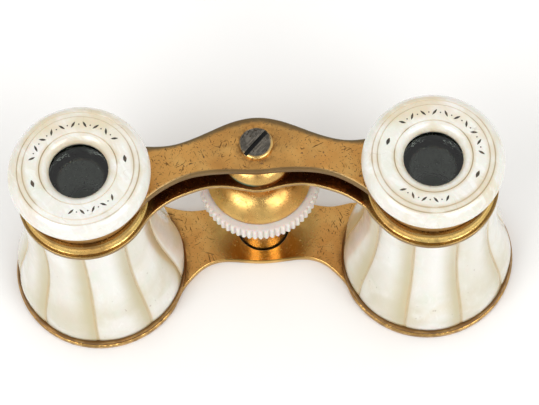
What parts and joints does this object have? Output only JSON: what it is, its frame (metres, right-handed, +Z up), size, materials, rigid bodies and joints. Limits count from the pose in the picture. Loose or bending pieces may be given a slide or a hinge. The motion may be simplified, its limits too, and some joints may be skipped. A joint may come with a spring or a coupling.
{
  "type": "opera glasses",
  "caption": "Pearl-clad opera glasses: twin ogee barrels on gilt bridges, pearl eyecups, and a knurled centre wheel that draws both eyepieces out together.",
  "frame": {"origin": "on the table, under the middle of the whole object standing on its objective ends", "axes": "+X from the left barrel to the right barrel, +Y away from the nose side towards the back of the focus wheel, +Z up through the eyecups"},
  "size_m": [0.0948, 0.0346, 0.0486],
  "materials": {
    "gilt_brass": "gilt, polished, worn on edges",
    "bridge_brass": "gilt, scratched and pitted, grey brown along worn edges",
    "lead_screw_brass": "turned, lightly oiled",
    "barrel_brass": "unpolished outside under the staves, blackened inside",
    "draw_tube_brass": "gilt outside, blackened inside",
    "blackened_brass": "matt black lacquer",
    "mother_of_pearl": "polished shell with soft bands of colour",
    "pearl_knurl": "translucent pinkish shell, worn teeth",
    "lens_glass": "polished optical glass",
    "screw_steel": "dark steel with worn gilding on its edge"
  },
  "bodies": {
    "barrel_frame": {"lower_bridge": "bridge_brass", "upper_bridge": "bridge_brass", "upper_bridge_boss": "gilt_brass", "left_foot_bead": "gilt_brass", "left_barrel_tube": "barrel_brass", "left_pearl_staves": "mother_of_pearl", "left_barrel_collar": "gilt_brass", "left_objective_cell": "gilt_brass", "left_objective_crown_lens": "lens_glass", "left_objective_flint_lens": "lens_glass", "left_objective_retaining_ring": "blackened_brass", "right_foot_bead": "gilt_brass", "right_barrel_tube": "barrel_brass", "right_pearl_staves": "mother_of_pearl", "right_barrel_collar": "gilt_brass", "right_objective_cell": "gilt_brass", "right_objective_crown_lens": "lens_glass", "right_objective_flint_lens": "lens_glass", "right_objective_retaining_ring": "blackened_brass"},
    "eyepiece_carriage": {"top_bridge": "bridge_brass", "bridge_screw": "screw_steel", "lead_screw_rod": "lead_screw_brass", "left_draw_tube": "draw_tube_brass", "left_light_stop": "blackened_brass", "left_eyepiece_cell": "gilt_brass", "left_eye_lens": "lens_glass", "left_eye_lens_ring": "blackened_brass", "left_eyecup": "mother_of_pearl", "right_draw_tube": "draw_tube_brass", "right_light_stop": "blackened_brass", "right_eyepiece_cell": "gilt_brass", "right_eye_lens": "lens_glass", "right_eye_lens_ring": "blackened_brass", "right_eyecup": "mother_of_pearl"},
    "focus_wheel": {"focus_sleeve": "gilt_brass", "focus_wheel_dome": "gilt_brass", "focus_wheel_knurl": "pearl_knurl", "focus_wheel_nut": "gilt_brass"}
  },
  "joints": [
    {"name": "wheel_turn", "type": "hinge", "parent": "barrel_frame", "child": "focus_wheel", "pos_m": [0, 0.00611, 0.024], "axis": [0, 0, 1], "range_deg": [0, 450]},
    {"name": "eyepiece_slide", "type": "slide", "parent": "barrel_frame", "child": "eyepiece_carriage", "axis": [0, 0, 1], "range_m": [0, 0.01]}
  ],
  "couplings": [
    {"joint": "wheel_turn", "follows": "eyepiece_slide", "rad_per_m": 785.39}
  ]
}
